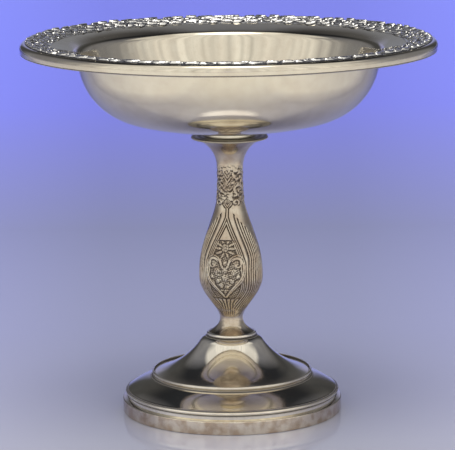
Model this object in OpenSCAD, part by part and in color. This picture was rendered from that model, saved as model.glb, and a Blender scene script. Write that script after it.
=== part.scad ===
// Footed compote bowl: a spun dish with an applied border, on a die-struck stem and a weighted foot.
// Millimetres, +Z up. The origin is the centre of the ring that the foot stands on.

/* [Bowl] */
// Thickness of the bowl's sheet
bowl_sheet = 0.9; // [0.7:0.1:1.2]
// Radius of the turn between floor and wall
turn_r = 24.5; // [20:0.5:28]
// Height of the steep wall above the turn
wall_h = 6.1; // [4:0.1:10]
// Radius of the lip under the flange
lip_r = 2.6; // [2:0.1:4]
// Slope of the floor where the turn begins, in degrees
floor_slope = 14; // [10:1:18]
// Slope of the wall where the turn ends, in degrees
wall_slope = 74; // [70:1:76]

/* [Rim] */
// Overall diameter, over the turned edge
rim_d = 152.4; // [148:0.2:160]
// Width of the flange, from the top of the bowl's wall to the outermost edge
flange_w = 20.3; // [18:0.1:25]
// Outside radius of the turned edge
edge_r = 2.2; // [1.8:0.1:2.6]
// Height of the apron below the turned edge's middle
apron_h = 1.2; // [0.5:0.1:2]
// Width of the plain band between the ornament and the outermost edge
edge_margin = 2; // [1.6:0.1:2.6]
// Width of the ornamented border
border_w = 9.6; // [7:0.1:11]
// Thickness of the border's ground
border_t = 0.25; // [0.2:0.05:0.5]
// Height of the ornament above its ground
ornament_h = 0.6; // [0.4:0.1:1]
// Number of times the border's motif repeats
motifs = 28; // [24:1:32]
// Slope of the flange at the lip, in degrees
flange_slope_in = 20; // [16:1:22]
// Slope of the flange at its outer edge, in degrees
flange_slope_out = 4; // [2:1:8]

/* [Stem] */
// Height of the stem between foot and seat disc
stem_h = 72.4; // [64:0.2:80]
// Thickness of the stem's two struck halves
stem_sheet = 1; // [0.8:0.1:1.2]
// Diameter of the bulb
bulb_d = 23.6; // [20:0.2:28]
// Diameter of the long neck above the bulb
neck_d = 9.2; // [8.4:0.1:11]
// Diameter of the waist below the bulb
waist_d = 8.5; // [8:0.1:10]
// Diameter of the flare on the foot
flare_d = 16.8; // [14:0.2:17.4]
// Diameter of the trumpet's mouth under the seat disc
mouth_d = 24; // [21:0.2:27]
// Height of the waist above the foot
waist_z = 5.6; // [4.6:0.1:6.4]
// Height of the bulb's widest place above the foot
bulb_z = 21.2; // [20:0.2:26]
// Height of the trumpet, from the narrowest place of the neck to the seat disc
trumpet_h = 17.8; // [15:0.1:20]
// Number of reeds on each side of a face's panel
reeds = 4; // [3:1:6]
// Height of the reeds
reed_h = 0.5; // [0.3:0.1:0.8]
// Height above the foot where the reeds begin
reeds_low_z = 8; // [6.6:0.2:9]
// Length of the leaf on the neck, whose middle is the narrowest place
leaf_l = 15; // [12:0.2:18]

/* [Seat] */
// Diameter of the seat disc under the bowl
disc_d = 28.3; // [27.5:0.1:32]
// Thickness of the seat disc
disc_t = 0.8; // [0.6:0.1:1.2]
// Diameter of the boss between seat disc and bowl
boss_d = 19; // [16:0.5:24]
// Height of the boss
boss_h = 1.6; // [1.2:0.1:2.4]
// Diameter of the boss's spigot in the stem
spigot_d = 8; // [7:0.1:9]
// Length of the spigot below the seat disc
spigot_l = 6; // [4:0.5:9]

/* [Foot] */
// Thickness of the foot's sheet
foot_sheet = 0.8; // [0.6:0.1:1]
// Overall height of the foot
foot_h = 29.4; // [26:0.2:32]
// Diameter of the foot over its skirt
foot_d = 81.4; // [76:0.2:88]
// Height of the skirt
skirt_h = 5; // [4:0.1:6]
// Width of the sloping band between the beads
band_w = 10; // [8:0.1:13]
// Height of the dome, from the upper bead's middle to the top
dome_h = 15; // [13.5:0.1:17]
// Width of the step between skirt and lower bead
step_w = 1; // [0.7:0.1:2]
// Height of the lower bead's middle above the table
bead_low_z = 7.5; // [6.9:0.1:8]
// Radius of both beads
bead_r = 0.65; // [0.5:0.05:0.75]
// Diameter of the bead round the foot's neck
collar_d = 18.4; // [17.6:0.2:20]

/* [Core] */
// Diameter of the tie rod
rod_d = 4; // [3:0.5:5]
// Distance across the flats of the rod's nut
nut_flats = 7; // [6:0.5:8]
// Thickness of the rod's nut
nut_t = 3.2; // [2.5:0.1:4]
// Diameter of the washer in the foot's neck
washer_d = 13; // [11:0.5:13.5]
// Thickness of the washer
washer_t = 1; // [0.8:0.1:1.5]
// Thickness of the plate that closes the foot
plate_t = 0.6; // [0.5:0.1:1]
// Depth of the plate inside the foot's hem
plate_rise = 0.9; // [0.8:0.1:1.5]
// Width of the hem that the foot stands on
hem_w = 1.8; // [1.5:0.1:3]

/* [Hidden] */

silver = "#cfcac0";
steel = "#8d9094";
cement = "#b9b2a2";

// Film of solder or cement left between two joined faces
film = 0.05;
// Clearance of the rod in the holes that it passes through
rod_play = 0.3;
// Overrun of every cut
over = 1;
// Lengths of the rod past its nut and of free bore past the rod's upper end
rod_tail = 1.5;
bore_spare = 0.8;
// Slope of the steep wall at the lip, a little more than where the turn ends
wall_slope_top = wall_slope + 4;

// Steps in an arc of a section, in each of the stem's zones, across a face's panel and across each of its
// margins, and facets round what turns
arc_steps = 8;
zone_steps = [5, 9, 14, 8];
panel_steps = 8;
margin_steps = 4;
round_fn = 96;

// The stack of pieces, from the table up
seat_z = foot_h + stem_h;
disc_z = seat_z + film;
boss_z = disc_z + disc_t + film;
bowl_z = boss_z + boss_h + film;

// A path is a list of [radius, height, slope]. An arc leaves the path's end at its slope and turns
// to a new slope with a radius; the path runs outwards, and a slope below zero goes down.
function last(path) = path[len(path) - 1];
function arc(path, r, slope, steps = arc_steps) =
    let (from = last(path), s = sign(slope - from[2]))
    concat(path, [for (i = [1:steps]) let (a = from[2] + (slope - from[2]) * i / steps)
        [from[0] + s * r * (sin(a) - sin(from[2])), from[1] + s * r * (cos(from[2]) - cos(a)), a]]);
function straight(path, length) = let (from = last(path))
    concat(path, [[from[0] + length * cos(from[2]), from[1] + length * sin(from[2]), from[2]]]);
function points(path, lift = 0) = [for (p = path) [p[0] - lift * sin(p[2]), p[1] + lift * cos(p[2])]];
function reversed(list) = [for (i = [len(list) - 1:-1:0]) list[i]];

module spun(outline) {
    rotate_extrude($fn = round_fn) polygon(outline);
}

// A grid of points, closed by its last row and column where asked, as the faces of one skin
function grid_faces(rows, columns, first = 0, flip = false, wrap_rows = false, wrap_columns = false) = [
    for (i = [0:rows - (wrap_rows ? 1 : 2)], j = [0:columns - (wrap_columns ? 1 : 2)])
        let (a = first + i * columns + j, b = first + i * columns + (j + 1) % columns,
             c = first + (i + 1) % rows * columns + (j + 1) % columns,
             d = first + (i + 1) % rows * columns + j)
        each flip ? [[a, c, b], [a, d, c]] : [[a, b, c], [a, c, d]]];

// Bowl: shallow domed floor, turn, steep wall, lip, rising flange and turned edge with its apron
bowl_d = rim_d - 2 * flange_w;
wall_r = wall_h / (cos(wall_slope) - cos(wall_slope_top));
wall_run = wall_r * (sin(wall_slope_top) - sin(wall_slope));
floor_r = bowl_d / 2 - wall_run - turn_r * (sin(wall_slope) - sin(floor_slope));
lip_run = lip_r * (sin(wall_slope_top) - sin(flange_slope_in));
edge_turn = edge_r - bowl_sheet;
apron_slope = -98;
flange_end = rim_d / 2 - bowl_sheet - edge_turn * (1 + sin(flange_slope_out));
flange_r = (flange_end - bowl_d / 2 - lip_run) / (sin(flange_slope_in) - sin(flange_slope_out));
bowl_start = [[0, bowl_z, 0]];
bowl_wall = arc(arc(arc(bowl_start, floor_r / sin(floor_slope), floor_slope), turn_r, wall_slope),
                wall_r, wall_slope_top);
bowl_lip = arc(bowl_wall, lip_r, flange_slope_in);
bowl_flange = arc(bowl_lip, flange_r, flange_slope_out);
bowl_path = straight(arc(bowl_flange, edge_turn, apron_slope), apron_h);

module bowl() {
    color(silver) spun(concat(points(bowl_path), reversed(points(bowl_path, bowl_sheet))));
}

// Rim border: a cast strip on the flange, whose motif of a blossom and two leaves repeats round it
border_out = rim_d / 2 - edge_margin;
border_in = border_out - border_w;
motif_columns = 9;
border_rows = 7;
border_columns = motifs * motif_columns;
// Height of the flange's upper face at a radius, from the circle that its section follows
flange_c = [last(bowl_flange)[0] + flange_r * sin(flange_slope_out),
            last(bowl_flange)[1] - flange_r * cos(flange_slope_out)];
function flange_z(r) = flange_c[1] + sqrt(pow(flange_r + bowl_sheet, 2) - pow(r - flange_c[0], 2));
// A soft-edged mound on the border, of a given middle, half width and half length, all as shares
function mound(along, across, middle_share, half_share) =
    max(0, 1 - pow((along - middle_share[0]) / half_share[0], 2)
             - pow((across - middle_share[1]) / half_share[1], 2));
blossom_share = [0.25, 0.5];
blossom_half_share = [0.26, 0.46];
leaf_high_share = [0.72, 0.72];
leaf_low_share = [0.72, 0.28];
leaf_half_share = [0.3, 0.24];
function motif(along, across) =
    max(mound(along, across, blossom_share, blossom_half_share),
        mound(along, across, leaf_high_share, leaf_half_share),
        mound(along, across, leaf_low_share, leaf_half_share));
function border_point(column, row) =
    let (across = row / (border_rows - 1), along = column / motif_columns - floor(column / motif_columns),
         r = border_in + border_w * across, a = 360 * column / border_columns)
    [r * cos(a), r * sin(a), flange_z(r) + film + border_t + ornament_h * sqrt(motif(along, across))];
function border_base(column, across) =
    let (r = border_in + border_w * across, a = 360 * column / border_columns)
    [r * cos(a), r * sin(a), flange_z(r) + film];

module rim_border() {
    base_points = 3;
    ring = [for (j = [0:border_columns - 1])
        each concat([for (k = [0:base_points - 1]) border_base(j, k / (base_points - 1))],
                    [for (i = [border_rows - 1:-1:0]) border_point(j, i)])];
    color(silver) polyhedron(ring, grid_faces(border_columns, base_points + border_rows, flip = true,
                                              wrap_rows = true, wrap_columns = true));
}

// Boss under the bowl, with the spigot that takes the rod's upper end
spigot_z = disc_z - spigot_l;
bore_top = boss_z + boss_h / 2;
rod_top = bore_top - bore_spare;

module bowl_boss() {
    color(silver) difference() {
        union() {
            intersection() {
                translate([0, 0, boss_z]) cylinder(d = boss_d, h = 3 * boss_h, $fn = round_fn);
                spun(concat([[0, spigot_z]], points(bowl_wall, -film), [[boss_d, spigot_z]]));
            }
            translate([0, 0, spigot_z]) cylinder(d = spigot_d, h = boss_z + film - spigot_z, $fn = round_fn);
        }
        translate([0, 0, spigot_z - over])
            cylinder(d = rod_d + 2 * film, h = bore_top + over - spigot_z, $fn = round_fn);
    }
}

// Seat disc: closes the trumpet's mouth and carries the boss
disc_edge_r = disc_t / 2;

module seat_disc() {
    color(silver) translate([0, 0, disc_z]) difference() {
        rotate_extrude($fn = round_fn) {
            square([disc_d / 2 - disc_edge_r, disc_t]);
            translate([disc_d / 2 - disc_edge_r, disc_edge_r]) circle(r = disc_edge_r);
        }
        translate([0, 0, -over]) cylinder(d = spigot_d + 2 * film, h = disc_t + 2 * over, $fn = round_fn);
    }
}

neck_z = stem_h - trumpet_h;
reeds_high_z = neck_z - leaf_l / 2;
leaf_tip_z = neck_z + leaf_l / 2;

// Stem: radius at each height, by zones between flare, waist, bulb, neck and mouth
function swell(t, power) = pow(sin(90 * pow(t, power)), 2);
flare_power = 2.6;
low_power = 0.8;
high_power = 1.12;
mouth_power = 4.4;
function stem_r(z) =
    z < waist_z ? waist_d / 2 + (flare_d - waist_d) / 2 * pow(1 - z / waist_z, flare_power) :
    z < bulb_z ? waist_d / 2 + (bulb_d - waist_d) / 2 * swell((z - waist_z) / (bulb_z - waist_z), low_power) :
    z < neck_z ? bulb_d / 2 + (neck_d - bulb_d) / 2 * swell((z - bulb_z) / (neck_z - bulb_z), high_power) :
    neck_d / 2 + (mouth_d - neck_d) / 2 * pow((z - neck_z) / (stem_h - neck_z), mouth_power);
zones = [0, waist_z, bulb_z, neck_z, stem_h];
stem_heights = concat([0], [for (k = [0:len(zone_steps) - 1], i = [1:zone_steps[k]])
    zones[k] + (zones[k + 1] - zones[k]) * i / zone_steps[k]]);
// Each face has a panel between two bands of reeds that spring from the neck, spread over the bulb
// and gather above the waist, and a plain margin along its seams. Above them a leaf lies on the neck.
// Widths are shares of the way from the face's middle to the seam.
panel_share = 0.42;
reed_share = 0.7;
leaf_share = 0.5;
least_share = 0.1;
fade_l = 3;
bump_power = 0.8;
vee_z = reeds_high_z - fade_l;
function rise(t) = let (s = min(1, max(0, t))) s * s * (3 - 2 * s);
function widen(z, from, to) = sin(90 * min(1, max(0, (z - from) / (to - from))));
function bump(z, low, high) =
    z <= low || z >= high ? 0 : pow(sin(180 * (z - low) / (high - low)), bump_power);
function leaf_w(z) = (leaf_share - least_share) * bump(z, reeds_high_z, leaf_tip_z);
function panel_w(z) =
    let (open_w = min(widen(z, vee_z, bulb_z + fade_l), widen(z, reeds_low_z, bulb_z - fade_l)))
    leaf_w(z) + least_share / 2 + (panel_share - least_share / 2) * open_w;
function reeded_w(z) = leaf_w(z) + least_share + (reed_share - least_share) * widen(z, reeds_high_z, bulb_z);
function reed_fade(z) = rise((z - reeds_low_z) / fade_l) * rise((reeds_high_z + fade_l - z) / fade_l);
// The sheet's thickness is kept square to the wall, under the grooves between the reeds
function hollow_r(z) =
    let (step = stem_sheet, lean = (stem_r(min(z + step, stem_h)) - stem_r(max(z - step, 0))) / (2 * step))
    max(stem_r(z) - reed_h * reed_fade(z) - stem_sheet * sqrt(1 + lean * lean), rod_d / 2 + rod_play);
// Columns of points across a face: half of them, from the middle outwards, mirrored to the other side
side_columns = panel_steps / 2 + 2 * reeds + margin_steps;
columns = 2 * side_columns;
function drawn_share(z, j) =
    let (reed = j - panel_steps / 2, margin = reed - 2 * reeds)
    margin > 0 ? reeded_w(z) + (1 - reeded_w(z)) * margin / margin_steps :
    reed > 0 ? panel_w(z) + (reeded_w(z) - panel_w(z)) * reed / (2 * reeds) :
    panel_w(z) * 2 * j / panel_steps;
// Where nothing is struck, the columns are spaced evenly
function drawn(z) = max(reed_fade(z), z > reeds_high_z ? rise((leaf_tip_z - z) / fade_l) : 0);
function half_share(z, j) = j / side_columns + (drawn_share(z, j) - j / side_columns) * drawn(z);
function widest_angle(z) =
    90 * max(1 / side_columns, (1 - half_share(z, side_columns - margin_steps)) / margin_steps);
// Two scrolls side by side on the bulb, a bud and a plain field above them, and a ridged leaf on the neck
scroll_share = 0.5;
scroll_r = 3;
field_long = 2;
leaf_ridge = 0.6;
function ridge(distance, half) = max(0, 1 - pow(distance / half, 2));
function panel_relief(z, s) =
    let (arc_l = 90 * bulb_d / 2 * PI / 180, x = s * panel_w(z) * arc_l,
         side = scroll_share * panel_share * arc_l)
    z > reeds_high_z ? (z < leaf_tip_z ? leaf_ridge * (1 - s) : 0) :
    reed_fade(z) * max(ridge(norm([x - side, z - bulb_z]) - scroll_r, scroll_r / 2),
                       ridge(norm([x, z - bulb_z - 3 * scroll_r]), scroll_r),
                       ridge(norm([x, (z - bulb_z - 5 * scroll_r) / field_long]), scroll_r / 2));
function half_relief(z, j) =
    let (reed = j - panel_steps / 2)
    reed > 2 * reeds ? reed_fade(z) :
    reed >= 0 ? reed % 2 * reed_fade(z) :
    panel_relief(z, 2 * j / panel_steps);
function face_point(z, column, r) =
    let (a = 90 * sign(column - side_columns) * half_share(z, abs(column - side_columns)))
    [r * sin(a), -r * cos(a) - film / 2, z];
function outer_point(z, column) =
    face_point(z, column, stem_r(z) + reed_h * (half_relief(z, abs(column - side_columns)) - reed_fade(z)));
function inner_point(z, column) = face_point(z, column, hollow_r(z));

module stem_half() {
    skin = [for (z = stem_heights)
        each concat([for (j = [0:columns]) outer_point(z, j)], [for (j = [columns:-1:0]) inner_point(z, j)])];
    rows = len(stem_heights);
    ring = 2 * (columns + 1);
    ends = [for (j = [0:columns - 1])
        each let (a = j, b = j + 1, c = ring - 2 - j, d = ring - 1 - j, top = (rows - 1) * ring)
            [[a, b, c], [a, c, d], [top + a, top + c, top + b], [top + a, top + d, top + c]]];
    color(silver) translate([0, 0, foot_h])
        polyhedron(skin, concat(grid_faces(rows, ring, flip = true, wrap_columns = true), ends));
}

module stem_front() {
    stem_half();
}

module stem_back() {
    rotate([0, 0, 180]) stem_half();
}

// Packing between the stem's halves and the rod
module stem_packing() {
    color(cement) translate([0, 0, foot_h]) difference() {
        spun(concat([[0, film]], [for (z = stem_heights) if (z > film && z < stem_h - film)
                    [hollow_r(z) * cos(widest_angle(z) / 2) - film, z]], [[0, stem_h - film]]));
        cylinder(d = rod_d + 2 * film, h = stem_h, $fn = round_fn);
        translate([0, 0, stem_h - spigot_l]) cylinder(d = spigot_d + 2 * film, h = spigot_l, $fn = round_fn);
    }
}

// Foot shell: neck bead, dome, upper bead, sloping band, lower bead, skirt and hem
bead_low_d = foot_d - 2 * step_w;
bead_high_d = bead_low_d - 2 * band_w;
bead_high_z = foot_h - dome_h;
collar_r = 0.7;
dome_slope_top = 20;
dome_slope = 52;
dome_start = [[collar_d / 2 + film, foot_h - 2 * collar_r - film, -dome_slope_top]];
dome_turn = 5;
dome_low = arc(dome_start, dome_turn, -dome_slope);
dome_mean = atan((last(dome_low)[1] - bead_high_z) / (bead_high_d / 2 - bead_r - last(dome_low)[0]));
dome_end = dome_slope - 2 * dome_mean;
dome_r = (bead_high_d / 2 - bead_r - last(dome_low)[0]) / (sin(dome_slope) + sin(dome_end));
dome_path = arc(dome_low, dome_r, dome_end);
band_start = [bead_high_d / 2, bead_high_z - 2 * bead_r];
band_end = [bead_low_d / 2 - bead_r, bead_low_z + bead_r];
band_mean = atan((band_start[1] - band_end[1]) / (band_end[0] - band_start[0]));
band_turn = 8;
band_path = arc([[band_start[0], band_start[1], band_turn - band_mean]],
                (band_end[0] - band_start[0]) / (sin(band_mean + band_turn) - sin(band_mean - band_turn)),
                -band_mean - band_turn);
function bead(c, r) = [for (a = [90:-30:-90]) c + r * [cos(a), sin(a)]];
skirt_bevel = 0.4;
foot_hole = rod_d / 2 + rod_play;
foot_outside = concat(
    [[foot_hole, foot_h]],
    bead([collar_d / 2 - collar_r, foot_h - collar_r], collar_r),
    points(dome_path),
    bead([bead_high_d / 2 - bead_r, bead_high_z], bead_r),
    points(band_path),
    bead([bead_low_d / 2 - bead_r, bead_low_z], bead_r),
    [[bead_low_d / 2 - bead_r, skirt_h + skirt_bevel],
     [foot_d / 2 - skirt_bevel, skirt_h],
     [foot_d / 2, skirt_h - skirt_bevel],
     [foot_d / 2, skirt_bevel],
     [foot_d / 2 - skirt_bevel, 0]]);
// The foot's inner surface, at a depth below the outer one
function foot_lining(depth) = concat(
    [[collar_d / 2 - 2 * collar_r - depth, foot_h - depth]],
    points(dome_path, -depth),
    points(band_path, -depth),
    [[bead_low_d / 2 - bead_r - depth, bead_low_z - bead_r],
     [bead_low_d / 2 - bead_r - depth, skirt_h + skirt_bevel - depth],
     [foot_d / 2 - depth, skirt_h - depth]]);
foot_inside = concat(
    [[foot_hole, foot_h - foot_sheet]],
    foot_lining(foot_sheet),
    [[foot_d / 2 - foot_sheet, plate_rise - film],
     [foot_d / 2 - skirt_bevel - hem_w, plate_rise - film],
     [foot_d / 2 - skirt_bevel - hem_w, 0]]);

module foot_shell() {
    color(silver) spun(concat(foot_outside, reversed(foot_inside)));
}

module base_plate() {
    color(silver) translate([0, 0, plate_rise])
        cylinder(d = foot_d - 2 * foot_sheet - 2 * film, h = plate_t, $fn = round_fn);
}

// Rod, washer and nut that clamp foot, stem and bowl together
washer_z = foot_h - foot_sheet - film - washer_t;
nut_z = washer_z - film - nut_t;
rod_low = nut_z - rod_tail;

module tie_rod() {
    color(steel) translate([0, 0, rod_low]) cylinder(d = rod_d, h = rod_top - rod_low, $fn = round_fn);
}

module neck_washer() {
    color(steel) translate([0, 0, washer_z]) difference() {
        cylinder(d = washer_d, h = washer_t, $fn = round_fn);
        translate([0, 0, -over]) cylinder(d = rod_d + 2 * rod_play, h = washer_t + 2 * over, $fn = round_fn);
    }
}

module rod_nut() {
    color(steel) translate([0, 0, nut_z]) difference() {
        cylinder(d = nut_flats / cos(30), h = nut_t, $fn = 6);
        translate([0, 0, -over]) cylinder(d = rod_d + 2 * film, h = nut_t + 2 * over, $fn = round_fn);
    }
}

// Filling that weights the foot, cast round the nut and the rod's end
fill_low = plate_rise + plate_t + film;

module foot_filling() {
    color(cement) difference() {
        spun(concat([[0, washer_z - film]],
                    [for (p = foot_lining(foot_sheet + film)) if (p[1] < washer_z - film) p],
                    [[foot_d / 2 - foot_sheet - film, fill_low], [0, fill_low]]));
        translate([0, 0, nut_z - film]) cylinder(d = (nut_flats + 2 * film) / cos(30), h = foot_h, $fn = 6);
        translate([0, 0, rod_low - film]) cylinder(d = rod_d + 2 * film, h = foot_h, $fn = round_fn);
    }
}

bowl();
rim_border();
bowl_boss();
seat_disc();
stem_front();
stem_back();
stem_packing();
tie_rod();
neck_washer();
rod_nut();
foot_shell();
foot_filling();
base_plate();
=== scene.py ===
import math

import bpy
import numpy as np
from mathutils import Euler, Matrix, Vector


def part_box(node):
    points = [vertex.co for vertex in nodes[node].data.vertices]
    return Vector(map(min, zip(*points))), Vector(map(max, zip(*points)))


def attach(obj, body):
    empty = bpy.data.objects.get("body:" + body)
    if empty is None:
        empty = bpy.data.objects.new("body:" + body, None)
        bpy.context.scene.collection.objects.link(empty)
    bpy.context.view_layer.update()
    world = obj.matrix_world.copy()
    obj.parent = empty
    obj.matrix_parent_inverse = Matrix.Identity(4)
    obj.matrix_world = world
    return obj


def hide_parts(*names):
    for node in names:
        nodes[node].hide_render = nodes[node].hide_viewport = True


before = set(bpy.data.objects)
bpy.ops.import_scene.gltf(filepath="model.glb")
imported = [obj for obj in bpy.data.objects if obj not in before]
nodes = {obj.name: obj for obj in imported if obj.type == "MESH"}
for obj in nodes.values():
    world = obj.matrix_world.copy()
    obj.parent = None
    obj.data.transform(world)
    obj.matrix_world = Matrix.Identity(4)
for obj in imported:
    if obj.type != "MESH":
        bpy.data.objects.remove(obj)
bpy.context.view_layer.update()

mm = 0.001  # the drawings below are in millimetres, Blender's meshes in metres


def boxMm(node):
    low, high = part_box(node)
    return [v / mm for v in low], [v / mm for v in high]


def sind(a):
    return math.sin(math.radians(a))


def cosd(a):
    return math.cos(math.radians(a))


# Sections are paths of (radius, height, slope in degrees). An arc leaves the path's end at its
# slope and turns to a new one.
def arc(path, radius, slope, degreesPerStep=1.5):
    r, z, start = path[-1]
    turn = 1 if slope > start else -1
    steps = max(3, math.ceil(abs(slope - start) / degreesPerStep))
    bends = [start + (slope - start) * (i + 1) / steps for i in range(steps)]
    return path + [(r + turn * radius * (sind(a) - sind(start)),
                    z + turn * radius * (cosd(start) - cosd(a)), a) for a in bends]


def straight(path, length):
    r, z, slope = path[-1]
    return path + [(r + length * cosd(slope), z + length * sind(slope), slope)]


def lifted(path, lift=0.0):
    return [(r - lift * sind(a), z + lift * cosd(a)) for r, z, a in path]


def bead(r, z, radius, first=90, last=-90, steps=12):
    bends = np.linspace(first, last, steps + 1)
    return [(r + radius * cosd(a), z + radius * sind(a)) for a in bends]


# Nodes and sockets
class Wire:
    # a socket of a shader or geometry tree, so that sums read as sums
    def __init__(self, tree, socket):
        self.tree, self.socket = tree, socket

    def maths(self, operation, *others):
        inputs = dict(enumerate((self, *others)))
        return addNode(self.tree, "Math", inputs, {"operation": operation})

    def __add__(self, other):
        return self.maths("ADD", other)

    def __sub__(self, other):
        return self.maths("SUBTRACT", other)

    def __rsub__(self, other):
        return self.maths("MULTIPLY_ADD", -1.0, other)

    def __mul__(self, other):
        return self.maths("MULTIPLY", other)

    def __truediv__(self, other):
        return self.maths("DIVIDE", other)

    def __pow__(self, other):
        return self.maths("POWER", other)

    __radd__, __rmul__ = __add__, __mul__

    def greater(self, other):
        return self.maths("MAXIMUM", other)

    def clamped(self):
        return self.greater(0.0).maths("MINIMUM", 1.0)

    def after(self, start, steepness):
        # 0 up to the start, then rising to 1
        return ((self - start) * steepness).clamped()

    def before(self, end, steepness):
        # falling to 0 at the end
        return ((end - self) * steepness).clamped()


def addNode(tree, kind, inputs=None, settings=None, output=0):
    isShader = tree.bl_idname == "ShaderNodeTree" or kind in ("Math", "Mix", "CombineXYZ")
    node = tree.nodes.new(("ShaderNode" if isShader else "GeometryNode") + kind)
    for name, value in (settings or {}).items():
        if name == "stops":
            ramp = node.color_ramp
            while len(ramp.elements) < len(value):
                ramp.elements.new(0.5)
            for element, (place, colour) in zip(ramp.elements, value):
                element.position, element.color = place, (*colour, 1)
        else:
            setattr(node, name, value)
    for name, value in (inputs or {}).items():
        socket = node.inputs[name]
        if isinstance(value, Wire):
            tree.links.new(value.socket, socket)
        else:
            socket.default_value = (*value, 1) if socket.type == "RGBA" else value
    return Wire(tree, node.outputs[output]) if node.outputs else None


def mixColours(tree, factor, first, second):
    settings = {"data_type": "RGBA", "blend_type": "MIX"}
    return addNode(tree, "Mix", {0: factor, 6: first, 7: second}, settings, output=2)


def splitXYZ(tree, place):
    outputs = addNode(tree, "SeparateXYZ", {0: place}).socket.node.outputs
    return [Wire(tree, socket) for socket in outputs]


def noise(tree, place, scale, detail):
    return addNode(tree, "TexNoise", {"Vector": place, "Scale": scale, "Detail": detail})


def ramp(tree, value, stops):
    return addNode(tree, "ValToRGB", {"Fac": value}, {"stops": stops})


def mask(tree, value, reach):
    # black up to the first value of reach, white from the second on
    return ramp(tree, value, [(reach[0], (0, 0, 0)), (reach[1], (1, 1, 1))])


def bumped(tree, height, strength, distance):
    return addNode(tree, "Bump", {"Strength": strength, "Distance": distance, "Height": height})


# Materials
silverLook = {
    "clean": (0.745, 0.69, 0.56), "aged": (0.54, 0.46, 0.355),
    "dark": (0.024, 0.021, 0.024), "foxed": (0.4, 0.29, 0.2),
    # how fine each texture is, per metre
    "cloudScale": 55.0, "blotchScale": 260.0, "speckScale": 1400.0, "ringScale": 2600.0,
    # the values between which each stain sets in
    "cloudReach": (0.42, 0.72), "blotchReach": (0.4, 0.62), "speckReach": (0.62, 0.74),
    "grimeAndShadeReach": (0.12, 0.6),
    # how strongly each shows, and the heights of the bump
    "speckAge": 0.5, "speckHaze": 0.6, "leastFoxing": 0.4, "foxingEdge": 3000.0,
    "grooveCore": 1.4, "grooveShade": 0.9, "grimeAndShadeRoughness": 0.35, "grimeAndShadeDulling": 0.75,
    "ringHeight": 0.35, "cloudHeight": 6.0, "bumpDistance": 0.00002,
}
steelLook = {
    "first": (0.50, 0.51, 0.53), "second": (0.38, 0.38, 0.39), "scale": 3000.0,
    "detail": 2.0, "roughness": 0.28, "roughnessSpread": 0.15, "metal": 1.0, "bump": 0.3,
    "bumpDistance": 0.00002,
}
cementLook = {
    "first": (0.66, 0.63, 0.56), "second": (0.80, 0.78, 0.72), "scale": 900.0,
    "detail": 6.0, "roughness": 0.85, "roughnessSpread": 0.0, "metal": 0.0, "bump": 0.5,
    "bumpDistance": 0.0001,
}


def newMaterial(name):
    material = bpy.data.materials.new(name)
    material.use_nodes = True
    tree = material.node_tree
    tree.nodes.clear()
    return material, tree


def finishMaterial(tree, **inputs):
    inputs = {name.replace("_", " "): value for name, value in inputs.items()}
    shader = addNode(tree, "BsdfPrincipled", inputs)
    addNode(tree, "OutputMaterial", {"Surface": shader})


# foxedBelow is a height, and 200 is above the whole object; grooves are circles of (radius,
# height, reach) at creases and gaps, along which painted shade darkens the colour
def silver(name, gloss=0.1, haze=0.05, age=0.35, ripple=0.25, ornament=0.0, grooves=(),
           foxed=0.0, foxedBelow=200.0, stipple=0.2, clean=silverLook["clean"],
           dark=silverLook["dark"]):
    material, tree = newMaterial(name)
    look = silverLook
    place = addNode(tree, "TexCoord", output="Object")
    x, y, z = splitXYZ(tree, place)
    radius = (x * x + y * y) ** 0.5
    turned = addNode(tree, "CombineXYZ", {0: radius, 1: z, 2: 0.0})
    clouds = noise(tree, place, look["cloudScale"], 5.0)
    specks = noise(tree, place, look["speckScale"], 2.0)
    rings = noise(tree, turned, look["ringScale"], 3.0)
    cloudMask = mask(tree, clouds, look["cloudReach"])
    speckMask = mask(tree, specks, look["speckReach"])
    tarnish = cloudMask * age + speckMask * (age * look["speckAge"])
    colour = mixColours(tree, tarnish, clean, look["aged"])
    if foxed:
        blotches = mask(tree, noise(tree, place, look["blotchScale"], 3.0), look["blotchReach"])
        blotches = blotches * (1 - look["leastFoxing"]) + look["leastFoxing"]
        low = z.before(foxedBelow * mm, look["foxingEdge"])
        colour = mixColours(tree, blotches * low * foxed, colour, look["foxed"])
    roughness = gloss + cloudMask * haze + speckMask * (haze * look["speckHaze"])
    metal = 1.0
    grime = None
    if ornament:
        settings = {"attribute_type": "GEOMETRY", "attribute_name": "grime"}
        worn = addNode(tree, "Attribute", None, settings, "Fac")
        grime = mask(tree, worn + (specks - 0.5) * stipple, look["grimeAndShadeReach"]) * ornament
    # painted shade: each groove adds a dark line to the colour, merged with the ornament's patina
    for grooveRadius, grooveHeight, reach in grooves:
        across, up = radius - grooveRadius * mm, z - grooveHeight * mm
        gap = (across * across + up * up) ** 0.5
        line = (look["grooveCore"] - gap / (reach * mm)).clamped() * look["grooveShade"]
        grime = grime.greater(line) if grime else line
    if grime:
        colour = mixColours(tree, grime, colour, dark)
        roughness = roughness + grime * look["grimeAndShadeRoughness"]
        metal = 1.0 - grime * look["grimeAndShadeDulling"]
    height = rings * look["ringHeight"] + clouds * look["cloudHeight"]
    bump = bumped(tree, height, ripple, look["bumpDistance"])
    finishMaterial(tree, Base_Color=colour, Roughness=roughness, Metallic=metal, Normal=bump)
    return material


def grained(name, look):
    material, tree = newMaterial(name)
    grain = noise(tree, addNode(tree, "TexCoord", output="Object"), look["scale"], look["detail"])
    colour = mixColours(tree, grain, look["first"], look["second"])
    roughness, spread = look["roughness"], look["roughnessSpread"]
    if spread:
        roughness = roughness + grain * spread
    bump = bumped(tree, grain, look["bump"], look["bumpDistance"])
    finishMaterial(tree, Base_Color=colour, Roughness=roughness, Metallic=look["metal"],
                   Normal=bump)
    return material


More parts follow.
